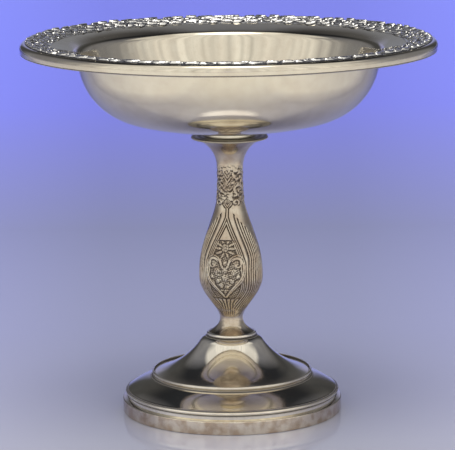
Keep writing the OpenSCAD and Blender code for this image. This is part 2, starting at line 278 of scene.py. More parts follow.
plainSilver = silver("plainSilver", gloss=0.08, haze=0.06, age=0.35, ripple=0.25)
stemSilver = silver("stemSilver", gloss=0.14, haze=0.1, age=1.3, ripple=0.6, ornament=0.95,
                    foxed=0.6, stipple=0.55, dark=(0.045, 0.03, 0.018))
borderSilver = silver("borderSilver", gloss=0.07, haze=0.05, age=0.15, ripple=0.25, ornament=0.98,
                      clean=(0.92, 0.9, 0.85), dark=(0.016, 0.017, 0.024))
rodSteel = grained("turnedSteel", steelLook)
fillingCement = grained("castFilling", cementLook)
print("materials made")


# Mesh helpers
def linked(name, data):
    holder = bpy.data.objects.new(name, data)
    bpy.context.scene.collection.objects.link(holder)
    return holder


def newPiece(name, vertices, faces, material, grime=None):
    mesh = bpy.data.meshes.new(name)
    mesh.from_pydata([tuple(v) for v in vertices], [], faces)
    if grime is not None:
        stored = mesh.attributes.new("grime", "FLOAT", "POINT")
        stored.data.foreach_set("value", np.asarray(grime, "f"))
    mesh.materials.append(material)
    mesh.shade_smooth()
    mesh.update()
    return linked(name, mesh)


def modifierInput(modifier, name, value):
    for item in modifier.node_group.interface.items_tree:
        if item.item_type == "SOCKET" and item.in_out == "INPUT" and item.name == name:
            modifier[item.identifier] = value


def newTree(name, inputs):
    tree = bpy.data.node_groups.new(name, "GeometryNodeTree")
    tree.interface.new_socket("Geometry", in_out="INPUT", socket_type="NodeSocketGeometry")
    for label, kind in inputs.items():
        tree.interface.new_socket(label, in_out="INPUT", socket_type="NodeSocket" + kind)
    tree.interface.new_socket("Geometry", in_out="OUTPUT", socket_type="NodeSocketGeometry")
    source = tree.nodes.new("NodeGroupInput")
    return tree, {label: Wire(tree, source.outputs[label]) for label in ["Geometry", *inputs]}


def closeTree(tree, geometry, material, mergeDistance=2e-6):
    real = addNode(tree, "RealizeInstances", {0: geometry})
    welded = addNode(tree, "MergeByDistance", {"Geometry": real, "Distance": mergeDistance})
    painted = addNode(tree, "SetMaterial", {"Geometry": welded, "Material": material})
    tree.links.new(painted.socket, tree.nodes.new("NodeGroupOutput").inputs[0])


def baked(piece, tree, values, sharpAngle=None):
    modifier = piece.modifiers.new("shape", "NODES")
    modifier.node_group = tree
    for name, value in values.items():
        modifierInput(modifier, name, value)
    bpy.context.view_layer.update()
    graph = bpy.context.evaluated_depsgraph_get()
    mesh = bpy.data.meshes.new_from_object(piece.evaluated_get(graph), depsgraph=graph)
    piece.modifiers.remove(modifier)
    old = piece.data
    piece.data = mesh
    bpy.data.meshes.remove(old)
    mesh.shade_smooth()
    if sharpAngle:
        mesh.set_sharp_from_angle(angle=math.radians(sharpAngle))
    return piece


# A section is swept round a circle, and its poles are merged
spinning = {"segments": 288, "circleRadius": 40.0, "sharpAngle": 40}


def spinningTree():
    kinds = {"Segments": "Int", "Circle Radius": "Float", "Material": "Material"}
    tree, given = newTree("spunSection", kinds)
    section = addNode(tree, "MeshToCurve", {0: given["Geometry"]})
    size = {"Resolution": given["Segments"], "Radius": given["Circle Radius"]}
    circle = addNode(tree, "CurvePrimitiveCircle", size, {"mode": "RADIUS"})
    swept = addNode(tree, "CurveToMesh", {"Curve": circle, "Profile Curve": section})
    closeTree(tree, swept, given["Material"])
    return tree


spinTree = spinningTree()


def spun(name, section, material):
    around = spinning["circleRadius"]
    points = [((r - around) * mm, -z * mm, 0.0) for r, z in section]
    mesh = bpy.data.meshes.new(name)
    mesh.from_pydata(points, [(i, i + 1) for i in range(len(points) - 1)], [])
    piece = linked(name, mesh)
    values = {"Segments": spinning["segments"], "Circle Radius": around * mm,
              "Material": material}
    baked(piece, spinTree, values, spinning["sharpAngle"])
    outwards(piece)
    return piece


def outwards(piece):
    # a closed mesh whose signed volume is below zero is inside out
    mesh = piece.data
    mesh.calc_loop_triangles()
    corners = np.empty(len(mesh.vertices) * 3)
    mesh.vertices.foreach_get("co", corners)
    corners = corners.reshape(-1, 3)
    triangles = np.empty(len(mesh.loop_triangles) * 3, dtype=np.int64)
    mesh.loop_triangles.foreach_get("vertices", triangles)
    a, b, c = (corners[triangles.reshape(-1, 3)[:, i]] for i in range(3))
    if np.einsum("ij,ij->i", a, np.cross(b, c)).sum() < 0:
        mesh.flip_normals()


def belongs(piece, slot, *replaced):
    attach(piece, "root")
    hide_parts(*replaced)


# Bowl
film = 0.05
bowlLow, bowlHigh = boxMm("bowl")
bowl = {
    "rimRadius": bowlHigh[0],
    "bottom": bowlLow[2],
    "sheet": 0.9, "flangeWidth": 20.3, "floorSlope": 14, "turnRadius": 24.5,
    "wallSlope": 74, "wallSlopeTop": 78, "wallHeight": 6.1, "lipRadius": 2.6,
    "flangeSlopeIn": 20, "flangeSlopeOut": 4, "edgeRadius": 2.2, "apronSlope": -98,
    "apronHeight": 1.2, "hemShadow": 0.18,
}


def bowlPaths(b):
    wallTop = b["rimRadius"] - b["flangeWidth"]
    wallR = b["wallHeight"] / (cosd(b["wallSlope"]) - cosd(b["wallSlopeTop"]))
    wallRun = wallR * (sind(b["wallSlopeTop"]) - sind(b["wallSlope"]))
    turnRun = b["turnRadius"] * (sind(b["wallSlope"]) - sind(b["floorSlope"]))
    floorR = (wallTop - wallRun - turnRun) / sind(b["floorSlope"])
    path = arc([(0, b["bottom"], 0)], floorR, b["floorSlope"], degreesPerStep=0.5)
    path = arc(path, b["turnRadius"], b["wallSlope"])
    path = arc(path, wallR, b["wallSlopeTop"], degreesPerStep=0.4)
    path = arc(path, b["lipRadius"], b["flangeSlopeIn"], degreesPerStep=4)
    slope = b["flangeSlopeOut"]
    edgeTurn = b["edgeRadius"] - b["sheet"]
    flangeEnd = b["rimRadius"] - b["sheet"] - edgeTurn * (1 + sind(slope))
    flangeR = (flangeEnd - path[-1][0]) / (sind(b["flangeSlopeIn"]) - sind(slope))
    flange = arc(path, flangeR, slope, degreesPerStep=0.5)
    centre = (flange[-1][0] + flangeR * sind(slope), flange[-1][1] - flangeR * cosd(slope))
    edge = arc(flange, edgeTurn, b["apronSlope"], degreesPerStep=5)
    return straight(edge, b["apronHeight"]), centre, flangeR


bowlPath, flangeCentre, flangeRadius = bowlPaths(bowl)


def flangeTop(r):
    reach = flangeRadius + bowl["sheet"]
    return flangeCentre[1] + np.sqrt(reach ** 2 - (r - flangeCentre[0]) ** 2)


def makeBowl():
    half = bowl["sheet"] / 2
    r, z, slope = bowlPath[-1]
    middle = (r - half * sind(slope), z + half * cosd(slope))
    hem = bead(*middle, half, slope + 90, slope - 90, 8)
    upper = lifted(bowlPath, bowl["sheet"])
    section = upper[:-1] + hem + lifted(bowlPath)[:-1][::-1]
    # painted shadow: a dark line along the lower edge of the rim's hem, as the shade under it
    bowlSilver = silver("bowlSilver", gloss=0.07, haze=0.05, age=0.3, ripple=0.2, foxed=0.16,
                        grooves=[(*upper[-1], bowl["hemShadow"])])
    belongs(spun("bowlDish", section, bowlSilver), "silver_bowl", "bowl")


makeBowl()
print("bowl spun")


# Relief drawings, on grids of x and y in millimetres, with heights from 0 to 1. The parts of a
# blossom or leaf are shares of it.
blossomForm = {"leastPetal": 0.70, "petalDepth": 0.30, "petalPower": 0.7, "middle": 0.35,
               "rise": 0.75, "vein": 0.72, "veinDepth": 0.28, "eye": 0.27}
leafForm = {"widest": 0.75, "fullness": 0.8, "lobe": 0.7, "lobeDepth": 0.3, "vein": 0.75,
            "veinDepth": 0.25, "veinLean": 1.5, "midribDepth": 0.45, "midribWidth": 0.1}
leastWidth = 1e-3


def strokeRelief(x, y, line, widths):
    # a rib along a line of points, round in section, whose half width follows the widths
    line = np.asarray(line)
    gap = np.hypot(x[..., None] - line[:, 0], y[..., None] - line[:, 1])
    nearest = gap.argmin(axis=-1)
    distance = np.take_along_axis(gap, nearest[..., None], axis=-1)[..., 0]
    width = np.interp(nearest / (len(line) - 1), np.linspace(0, 1, len(widths)), widths)
    return rounded(distance / np.maximum(width, leastWidth))


def rounded(share):
    # a half round: full height at 0, none from 1 on
    return np.clip(1 - share ** 2, 0, 1) ** 0.5


def bezier(a, b, c, d, steps=36):
    t = np.linspace(0, 1, steps + 1)[:, None]
    a, b, c, d = (np.asarray(p, float) for p in (a, b, c, d))
    return (1 - t) ** 3 * a + 3 * (1 - t) ** 2 * t * b + 3 * (1 - t) * t ** 2 * c + t ** 3 * d


def spiral(centre, firstR, lastR, firstA, lastA, steps=40):
    t = np.linspace(0, 1, steps + 1)
    r = firstR + (lastR - firstR) * t
    a = np.radians(firstA + (lastA - firstA) * t)
    return np.stack([centre[0] + r * np.cos(a), centre[1] + r * np.sin(a)], axis=1)


def blossomRelief(x, y, centre, radius, petals, turn=0.0):
    form = blossomForm
    dx, dy = x - centre[0], y - centre[1]
    r = np.hypot(dx, dy)
    a = np.arctan2(dy, dx) + turn
    petal = np.abs(np.cos(petals * a / 2)) ** form["petalPower"]
    edge = radius * (form["leastPetal"] + form["petalDepth"] * petal)
    leaf = rounded(r / edge) * np.clip(form["middle"] + form["rise"] * r / radius, 0, 1)
    leaf = leaf * (form["vein"] + form["veinDepth"] * np.cos(3 * petals * a))
    return np.maximum(leaf, rounded(r / (form["eye"] * radius)))


def smooth(t):
    t = np.clip(t, 0, 1)
    return t * t * (3 - 2 * t)


def rising(value, start, length):
    return smooth((value - start) / length)


def falling(value, end, length):
    return smooth((end - value) / length)


def ribs(value, pitch, power=1):
    return np.abs(np.sin(math.pi * value / pitch)) ** power


def blurred(grid, steps, wraps=(False, False)):
    # three running means along each axis, which come close to a bell curve
    for axis in (0, 1):
        pad = [(0, 0), (0, 0)]
        pad[axis] = (steps[axis], steps[axis])
        size = 2 * steps[axis] + 1
        for _ in range(3):
            total = np.cumsum(np.pad(grid, pad, mode="wrap" if wraps[axis] else "edge"), axis=axis)
            total = np.insert(total, 0, 0, axis=axis)
            grid = (np.take(total, range(size, total.shape[axis]), axis=axis)
                    - np.take(total, range(total.shape[axis] - size), axis=axis)) / size
    return grid


def cavity(relief, gain, wraps=(False, False), steps=(2, 2)):
    # how far a place lies below what is round it, from 0 to 1
    return np.clip((blurred(relief, steps, wraps) - relief) * gain, 0, 1)


def leafRelief(x, y, base, length, width, angle, lobes=0, veined=1.0):
    # a pointed leaf that starts at its base, grooved along its midrib; lobes notch its edge
    form = leafForm
    along = ((x - base[0]) * cosd(angle) + (y - base[1]) * sind(angle)) / length
    across = (y - base[1]) * cosd(angle) - (x - base[0]) * sind(angle)
    inside = np.clip(along, 0, 1)
    half = width / 2 * np.sin(math.pi * inside ** form["widest"]) ** form["fullness"]
    if lobes:
        notched = np.abs(np.cos(math.pi * lobes * inside))
        half = half * (form["lobe"] + form["lobeDepth"] * notched)
    body = rounded(across / np.maximum(half, leastWidth)) * ((along > 0) & (along < 1))
    phase = form["veinLean"] * length * along / width - 2 * np.abs(across) / width
    veins = form["vein"] + form["veinDepth"] * np.cos(2 * math.pi * phase)
    midrib = np.exp(-(across / (form["midribWidth"] * width)) ** 2)
    return body * (1 - form["midribDepth"] * veined * midrib) * (1 - veined * (1 - veins))


# Rim border: one motif, then a geometry tree that repeats it round the rim. Pairs say where a
# change sets in and its length, as shares of the width from the inner edge.
border = {
    "motifs": 14, "setsInAMotif": 2, "margin": 2.0, "width": 9.6, "ground": 0.18,
    "height": 1.0, "veined": 0.15, "columns": 128, "rows": 44,
    # leaves: x along the rim, y across it, length, width, angle, lobes, height share
    "leaves": [
        (0.2, 3.8, 4.9, 2.5, 6, 0, 1.0), (5.4, 4.0, 4.7, 2.4, -6, 0, 0.9),
        (10.6, 3.8, 4.8, 2.5, 4, 0, 1.0), (2.4, 1.3, 4.4, 2.2, -12, 2, 0.95),
        (7.8, 1.0, 4.4, 2.2, 12, 0, 0.85), (12.8, 1.3, 4.3, 2.2, -8, 2, 0.95),
        (0.4, -0.9, 4.6, 2.3, 10, 0, 0.95), (5.5, -0.8, 4.3, 2.1, -14, 2, 0.9),
        (10.6, -1.0, 4.5, 2.3, 8, 0, 1.0), (2.6, -2.8, 4.2, 2.2, -14, 0, 0.85),
        (8.2, -2.6, 3.9, 2.1, -26, 0, 0.9), (13.0, -2.9, 3.8, 2.1, 8, 0, 0.8),
    ],
    # how far each leaf may stray: x, y, share of its length, angle, share of its height
    "stray": (0.7, 0.4, 0.25, 16.0, 0.3), "seed": 11,
    # blossoms: x, y, radius, petals
    "blossoms": [
        (1.6, 2.1, 0.8, 4), (7.0, 2.3, 0.8, 4), (12.0, 2.2, 0.8, 4), (4.8, 0.6, 0.8, 4),
        (10.2, 0.4, 0.8, 4), (15.2, -0.2, 0.8, 4), (1.2, -2.6, 0.9, 4), (7.0, -3.2, 0.9, 4),
        (12.0, -3.4, 0.8, 4),
    ],
    "blossomTurn": 0.4, "blossomHeight": 0.9,
    # the ground is where leaves stand close together, and on the outer part
    "leafyFrom": 0.05, "leafySpread": (3, 3), "leafyGain": 2.2, "leafyCut": 0.25,
    "groundOutside": 0.6, "leastGround": 0.12, "groundEdge": 0.5, "innerRise": 14,
    "outerRise": 24, "hollowGain": 2.2, "bareBelow": 0.04, "bareStain": 0.95,
    "cleanReach": (0.7, 0.15), "cleanShare": 0.5, "edgeStain": (0.975, 0.02),
}


def motifRelief(x, y, length):
    # x runs along the rim, y across it from the middle; what crosses an end comes in at the other
    b = border
    chance = np.random.default_rng(b["seed"])
    alongX, acrossY, longer, turned, higher = b["stray"]
    leaves, blossoms = [], []
    for start in np.arange(b["setsInAMotif"]) * (length / b["setsInAMotif"]):
        for baseX, baseY, long, wide, angle, lobes, height in b["leaves"]:
            s = chance.uniform(-1, 1, 6)
            base = (start + baseX + alongX * s[0], baseY + acrossY * s[1])
            leaves.append((base, long * (1 + longer * s[2]), wide * (1 + longer * s[3]),
                           angle + turned * s[4], lobes, height * (1 - higher * abs(s[5]))))
        for middleX, middleY, radius, petals in b["blossoms"]:
            s = chance.uniform(-1, 1, 3)
            middle = (start + middleX + alongX * s[0], middleY + acrossY * s[1])
            blossoms.append((middle, radius * (1 + longer * s[2]), petals))
    total = np.zeros_like(x)
    for shift in (-length, 0, length):
        for base, long, wide, angle, lobes, height in leaves:
            leaf = leafRelief(x - shift, y, base, long, wide, angle, lobes, b["veined"])
            total = np.maximum(total, height * leaf)
        for middle, radius, petals in blossoms:
            blossom = blossomRelief(x - shift, y, middle, radius, petals, b["blossomTurn"])
            total = np.maximum(total, b["blossomHeight"] * blossom)
    return total


def makeBorder():
    b = border
    outer = bowl["rimRadius"] - b["margin"]
    inner = outer - b["width"]
    length = 2 * math.pi * (inner + outer) / 2 / b["motifs"]
    u = np.linspace(0, 1, b["columns"] + 1)
    v = np.linspace(1, 0, b["rows"] + 1)
    U, V = np.meshgrid(u, v, indexing="ij")
    relief = motifRelief(U * length, (V - 0.5) * b["width"], length)
    endless = (True, False)
    # the ground is raised and dark only among the leaves, so that their tips make the inner edge
    leafy = blurred((relief > b["leafyFrom"]).astype(float), b["leafySpread"], endless)
    field = smooth(leafy * b["leafyGain"] - b["leafyCut"])
    field = np.maximum(field, V > b["groundOutside"])
    edge = smooth(np.minimum(V, 1 - V) * b["width"] / b["groundEdge"])
    r = inner + V * b["width"]
    ground = b["ground"] * edge * (b["leastGround"] + (1 - b["leastGround"]) * field)
    rise = smooth(np.minimum(V * b["innerRise"], (1 - V) * b["outerRise"]))
    z = flangeTop(r) + film + ground + b["height"] * relief * rise
    a = U * 2 * math.pi / b["motifs"]
    top = np.stack([r * np.cos(a), r * np.sin(a), z], axis=-1)
    baseR = np.array([inner, inner + b["width"] / 2, outer])
    baseA = u[:, None] * 2 * math.pi / b["motifs"]
    baseZ = np.broadcast_to(flangeTop(baseR) + film, (len(u), len(baseR)))
    base = np.stack([baseR * np.cos(baseA), baseR * np.sin(baseA), baseZ], axis=-1)
    ring = np.concatenate([base, top], axis=1)
    count = ring.shape[1]
    faces = [(i * count + j, (i + 1) * count + j,
              (i + 1) * count + (j + 1) % count, i * count + (j + 1) % count)
             for i in range(len(u) - 1) for j in range(count)]
    bare = b["bareStain"] * (relief < b["bareBelow"])
    hollows = (cavity(relief, b["hollowGain"], endless) + bare) * field
    hollows = hollows * (1 - b["cleanShare"] * rising(V, *b["cleanReach"]))
    hollows = np.maximum(hollows, rising(V, *b["edgeStain"]))
    values = np.concatenate([np.ones((len(u), len(baseR))), hollows], axis=1).ravel()
    piece = newPiece("rimBorderRelief", ring.reshape(-1, 3) * mm, faces, borderSilver, values)

    tree, given = newTree("motifsRoundTheRim", {"Motifs": "Int", "Material": "Material"})
    places = addNode(tree, "Points", {"Count": given["Motifs"]})
    turn = addNode(tree, "InputIndex") * (2 * math.pi) / given["Motifs"]
    rotation = addNode(tree, "CombineXYZ", {2: turn})
    inputs = {"Points": places, "Instance": given["Geometry"], "Rotation": rotation}
    copies = addNode(tree, "InstanceOnPoints", inputs)
    closeTree(tree, copies, given["Material"])
    baked(piece, tree, {"Motifs": b["motifs"], "Material": borderSilver})
    outwards(piece)
    belongs(piece, "silver_ornament", "rim_border")


makeBorder()
print("rim border made")


# Seat disc and boss
seat = {
    # rings of painted shade and dark reflection on the disc, from the gap under the bowl: how far
    # in
    #     # from its edge, how far above its top, reach
    "shadeRingsInwards": (0.9, 3.0, 5.1), "shadeRingLift": 0.6, "shadeRingReach": 1.4,
    "bossChamfer": 0.2,
}


def makeSeat():
    low, high = boxMm("seat_disc")
    half = (high[2] - low[2]) / 2
    middle = low[2] + half
    section = [(0, low[2])] + bead(high[0] - half, middle, half, -90, 90) + [(0, high[2])]
    # painted shade and dark reflection: dark rings on the disc's top, under the bowl
    grooves = [(high[0] - inwards, high[2] + seat["shadeRingLift"], seat["shadeRingReach"])
               for inwards in seat["shadeRingsInwards"]]
    seatSilver = silver("seatSilver", gloss=0.1, age=0.5, grooves=grooves)
    belongs(spun("seatDisc", section, seatSilver), "silver_plain", "seat_disc")

    bossLow = high[2] + film
    bossRadius = boxMm("bowl_boss")[1][0]
    chamfer = seat["bossChamfer"]
    underside = [(r, z) for r, z in lifted(bowlPath, -film) if r < bossRadius]
    section = [(0, bossLow), (bossRadius - chamfer, bossLow), (bossRadius, bossLow + chamfer),
               (bossRadius, underside[-1][1])] + underside[::-1]
    belongs(spun("bowlBoss", section, plainSilver), "silver_plain", "bowl_boss")


makeSeat()

# Stem: the two struck faces
stem = {
    "sheet": 1.0, "bulbDiameter": 23.6, "neckDiameter": 9.2, "waistDiameter": 8.5,
    "flareDiameter": 16.8, "mouthDiameter": 24.0, "waistZ": 5.6, "bulbZ": 21.2,
    "trumpetHeight": 17.8, "flarePower": 2.6, "lowerPower": 0.8, "upperPower": 1.12,
    "mouthPower": 4.4, "leastInside": 2.4, "insideColumns": 9, "reliefHeight": 0.5,
    "reedsLowZ": 8.0, "leafLength": 15.0, "panelShare": 0.46, "reedShare": 0.94,
    "reedReach": 10.0, "leafShare": 0.5, "leafPower": 0.8, "leastShare": 0.1,
    "fadeLength": 3.0, "seamDepth": 0.25, "seamShare": 0.03, "hollowGain": 4.6,
    "deepStain": 0.22, "neckStain": 0.14, "columns": 190, "rows": 430, "sharpAngle": 60,
}
stemLow, stemHigh = boxMm("stem_front")
stemFoot = stemLow[2]
stemHeight = stemHigh[2] - stemLow[2]
neckZ = stemHeight - stem["trumpetHeight"]
reedsHighZ = neckZ - stem["leafLength"] / 2
leafTipZ = neckZ + stem["leafLength"] / 2

# The die's drawing, in millimetres: x from the face's middle, z from the bulb's widest place or
# the neck's narrowest. Leaves: x, z, length, width, angle, lobes; blossoms: x, z, radius, petals.
neckLeaves = [
    (0.0, 0.6, 7.4, 2.4, 90, 0), (0.5, 0.0, 4.6, 1.1, 68, 0), (0.8, -0.8, 4.4, 1.2, 48, 3),
    (1.0, -2.0, 4.2, 1.2, 28, 3), (1.2, -3.0, 3.4, 1.1, 6, 3), (0.4, -4.4, 3.2, 1.0, -62, 0),
    (0.3, 4.2, 2.4, 0.9, 60, 0),
]
neckBlossoms = [
    (0.0, -0.6, 1.1, 5), (0.0, -2.8, 1.3, 6), (0.0, -4.9, 0.9, 5), (2.2, -4.2, 0.7, 4),
    (-2.2, -4.2, 0.7, 4),
]
panelLeaves = [
    (1.3, 12.6, 3.0, 1.2, 24, 3), (1.4, 11.7, 3.2, 1.2, 2, 3), (1.2, 10.8, 3.0, 1.2, -24, 3),
    (0.7, 13.6, 2.2, 1.0, 60, 0), (0.5, 10.2, 2.2, 0.9, -65, 0), (0.6, 4.4, 2.4, 0.8, 60, 0),
    (1.2, 3.4, 1.8, 0.7, 20, 0), (1.5, 2.0, 2.4, 0.8, 10, 3), (1.2, 0.4, 2.2, 0.8, -5, 0),
    (1.0, -0.9, 2.2, 0.8, -30, 3), (0.8, -2.6, 1.8, 0.8, 30, 0), (0.4, -3.6, 1.6, 0.7, -10, 0),
    (4.6, 0.6, 2.2, 0.8, 66, 0), (4.0, -1.0, 2.0, 0.8, 40, 0),
]
panelBlossoms = [
    (0.0, 12.0, 1.6, 6), (-3.3, 3.6, 1.3, 5), (3.5, 3.1, 1.2, 5), (0.1, 6.4, 1.0, 5),
    (0.1, 4.0, 1.2, 5), (0.2, 1.2, 1.3, 6), (-2.6, -0.1, 0.9, 5), (2.8, -0.4, 0.9, 5),
    (5.5, 1.2, 0.8, 4), (-5.5, 1.4, 0.8, 4), (-4.6, -1.2, 0.7, 4), (0.8, -2.2, 0.9, 5),
    (-1.0, -1.7, 0.8, 5), (0.1, -4.2, 0.7, 4), (4.4, -1.4, 0.7, 4), (2.0, 7.8, 0.8, 5),
    (-2.0, 7.9, 0.8, 5),
]
blossomTurn = 0.3

# The heart of scrolls on the bulb: control points, half widths along each line, and a spiral's
# radii and angles, first and last
heart = {
    "top": [(1.3, 5.6), (1.9, 9.6), (7.4, 10.6), (7.9, 4.4)],
    "side": [(7.9, 4.4), (7.9, -0.6), (3.6, -1.9), (0.3, -6.5)],
    "topWidths": [0.4, 0.7, 0.8, 0.75],
    "sideWidths": [0.75, 0.8, 0.7, 0.4],
    "topGroove": [0.15, 0.25, 0.25],
    "sideGroove": [0.25, 0.15],
    "grooveDepth": 0.55, "scrollHead": (4.9, 6.0), "curl": (2.3, 0.6, 150, -170),
    "curlWidths": [0.3, 0.4, 0.35],
    "curlHeight": 0.9, "fanRadius": 1.9, "fanPetals": 9, "fanHeight": 0.8,
}

# The rest of the die. Pairs say where a part sets in or ends, and over what length: z as above,
# but from the foot for fanFrom, inwards from the panel's edge for archInset, the face's share
# for mattedSides and the relief for deepFrom.
die = {
    "reedPitch": 1.1, "rollWidth": 2.3, "rollWidens": (3.0, 6.0), "reedPower": 0.8,
    "linesFrom": (14.0, 1.0), "linePitch": 0.8, "lineReach": 1.6, "archInset": (1.65, 0.4),
    "archFoot": (14.4, 0.6), "archTop": (20.6, 0.8), "archHeight": 0.85, "seedPitch": 0.8,
    "seedLean": 0.4, "seedHeight": 0.3, "edgingPitch": 0.72, "edgingReach": 2.16,
    "edgingHeight": 0.75, "flutes": 3.0, "flutesTop": (-6.8, 1.5), "flutePower": 0.7,
    "fluteHeight": 0.85, "fluteShare": 0.28, "amongFlutes": 0.5, "fanFrom": (6.2, 2.0),
    "fanHeight": 0.8, "neckFrom": (-7.0, 1.0), "voluteCentre": (3.2, -5.4),
    "volute": (1.5, 0.35, -70, 280),
    "voluteWidths": [0.5, 0.55, 0.45],
    "matting": 0.55, "mattedFrom": (-6.0, 1.5), "mattedTo": (9.0, 3.0),
    "mattedSides": (0.96, 0.1), "punchSteps": (1, 3), "punchRange": (15, 85), "seed": 5,
    "deepFrom": (-0.2, 0.6), "stainFrom": (-7.0, 1.5), "stainTo": (8.0, 3.0),
}


def stemRadius(z):
    s = stem
    waist, bulb, neck, flare, mouth = (s[part + "Diameter"] / 2 for part in
                                       ("waist", "bulb", "neck", "flare", "mouth"))

    def swell(t, power):
        return np.sin(math.pi / 2 * np.clip(t, 0, 1) ** power) ** 2

    lowest = waist + (flare - waist) * np.clip(1 - z / s["waistZ"], 0, 1) ** s["flarePower"]
    rise = (z - s["waistZ"]) / (s["bulbZ"] - s["waistZ"])
    lower = waist + (bulb - waist) * swell(rise, s["lowerPower"])
    rise = (z - s["bulbZ"]) / (neckZ - s["bulbZ"])
    upper = bulb + (neck - bulb) * swell(rise, s["upperPower"])
    rise = np.clip((z - neckZ) / (stemHeight - neckZ), 0, 1)
    highest = neck + (mouth - neck) * rise ** s["mouthPower"]
    return np.select([z < s["waistZ"], z < s["bulbZ"], z < neckZ], [lowest, lower, upper], highest)


# Half widths on the face, as shares of the way from its middle to a seam
def widen(z, first, last):
    return np.sin(math.pi / 2 * np.clip((z - first) / (last - first), 0, 1))


def leafWidth(z):
    rise = np.clip((z - reedsHighZ) / (leafTipZ - reedsHighZ), 0, 1)
    bump = np.sin(math.pi * rise) ** stem["leafPower"]
    return (stem["leafShare"] - stem["leastShare"]) * bump


def panelWidth(z):
    s = stem
    least = s["leastShare"] / 2
    opened = np.minimum(widen(z, reedsHighZ - s["fadeLength"], s["bulbZ"] + s["fadeLength"]),
                        widen(z, s["reedsLowZ"], s["bulbZ"] - s["fadeLength"]))
    return leafWidth(z) + least + (s["panelShare"] - least) * opened


def reededWidth(z):
    s = stem
    opened = widen(z, reedsHighZ, s["bulbZ"] + s["reedReach"])
    return leafWidth(z) + s["leastShare"] + (s["reedShare"] - s["leastShare"]) * opened


def struckDepth(z):
    fade = stem["fadeLength"]
    return rising(z, stem["reedsLowZ"], fade) * falling(z, reedsHighZ + fade, fade)


def drawn(x, z, leaves, blossoms):
    # leaves are drawn on both sides of the face's middle
    total = np.zeros_like(x)
    for baseX, baseZ, *form in leaves:
        total = np.maximum(total, leafRelief(np.abs(x), z, (baseX, baseZ), *form))
    for middleX, middleZ, radius, petals in blossoms:
        blossom = blossomRelief(x, z, (middleX, middleZ), radius, petals, blossomTurn)
        total = np.maximum(total, blossom)
    return total


def heartRelief(x, z):
    h = heart
    side = np.abs(x)
    top, flank = bezier(*h["top"]), bezier(*h["side"])

    def outline(topWidths, sideWidths):
        return np.maximum(strokeRelief(side, z, top, topWidths),
                          strokeRelief(side, z, flank, sideWidths))

    line = outline(h["topWidths"], h["sideWidths"])
    groove = outline(h["topGroove"], h["sideGroove"])
    curl = strokeRelief(side, z, spiral(h["scrollHead"], *h["curl"]), h["curlWidths"])
    fan = blossomRelief(side, z, h["scrollHead"], h["fanRadius"], h["fanPetals"])
    return np.maximum.reduce([line - h["grooveDepth"] * groove, h["curlHeight"] * curl,
                              h["fanHeight"] * fan])


def punched(shape):
    # a ground of irregular punch marks, from 0 to 1
    marks = blurred(np.random.default_rng(die["seed"]).random(shape), die["punchSteps"])
    low, high = np.percentile(marks, die["punchRange"])
    return np.clip((marks - low) / (high - low), 0, 1)


def stemRelief(share, z):
    # share runs from -1 to 1 between the seams, z from the foot
    d = die
    panel, reeded = panelWidth(z), reededWidth(z)
    depth = struckDepth(z)
    out = np.abs(share)
    radius = stemRadius(z)
    x = share * math.pi / 2 * radius
    bulbUp, neckUp = z - stem["bulbZ"], z - neckZ
    inset = (panel - out) * math.pi / 2 * radius

    # reeds beside the panel; the one next to it widens to a roll above the bulb
    roll = d["reedPitch"] + (d["rollWidth"] - d["reedPitch"]) * rising(bulbUp, *d["rollWidens"])
    reeds = np.where(-inset < roll, -inset / roll, 1 - (inset + roll) / d["reedPitch"])
    reeds = ribs(reeds, 1, d["reedPower"])

    # leaves, blossoms and the heart, on a ground of seeds inside an edging
    lean, pitch = d["seedLean"], d["seedPitch"]
    seeds = d["seedHeight"] * (ribs(x + lean * bulbUp, pitch) * ribs(bulbUp - lean * x, pitch))
    edging = d["edgingHeight"] * ribs(inset, d["edgingPitch"]) * (inset < d["edgingReach"])
    plants = drawn(x, bulbUp, panelLeaves, panelBlossoms)
    field = np.maximum.reduce([plants, heartRelief(x, bulbUp), seeds, edging])

    # fine lines that follow the panel's edge above the top blossom, round a plain arch
    above = rising(bulbUp, *d["linesFrom"])
    lines = ribs(inset, d["linePitch"], d["reedPower"]) * (inset < d["lineReach"])
    arch = (rising(inset, *d["archInset"]) * rising(bulbUp, *d["archFoot"])
            * falling(bulbUp, *d["archTop"]))
    field = np.maximum(field * (1 - above), np.maximum(lines * above, d["archHeight"] * arch))

    # flutes under the heart, which run on as a fan below the struck ground
    wide = np.maximum(panel, d["fluteShare"])
    flutes = np.abs(np.sin(math.pi * d["flutes"] * share / wide)) ** d["flutePower"]
    flutes = d["fluteHeight"] * flutes * falling(bulbUp, *d["flutesTop"])
    under = np.maximum(flutes, d["amongFlutes"] * field)
    field = np.where(bulbUp < d["flutesTop"][0], under, field)
    fan = d["fanHeight"] * flutes * (1 - depth) * rising(z, *d["fanFrom"]) * (out <= wide)
    struck = np.where(out > reeded, 1.0, np.where(out > panel, reeds, field)) * depth

    # the neck's spray and volutes, on a matted ground
    spray = drawn(x, neckUp, neckLeaves, neckBlossoms)
    volute = spiral(d["voluteCentre"], *d["volute"])
    volute = strokeRelief(np.abs(x), neckUp, volute, d["voluteWidths"])
    onNeck = np.maximum(spray, volute) * rising(neckUp, *d["neckFrom"])
    matted = (d["matting"] * rising(neckUp, *d["mattedFrom"]) * falling(neckUp, *d["mattedTo"])
              * falling(out, *d["mattedSides"]))
    onNeck = np.maximum(onNeck, matted * punched(x.shape))
    return np.maximum.reduce([struck, onNeck, fan]) - depth


def stemGrime(relief, z):
    s, d = stem, die
    neckUp = z - neckZ
    onNeck = rising(neckUp, *d["stainFrom"]) * falling(neckUp, *d["stainTo"])
    return (cavity(relief, s["hollowGain"])
            + s["deepStain"] * falling(relief, *d["deepFrom"]) + s["neckStain"] * onNeck)


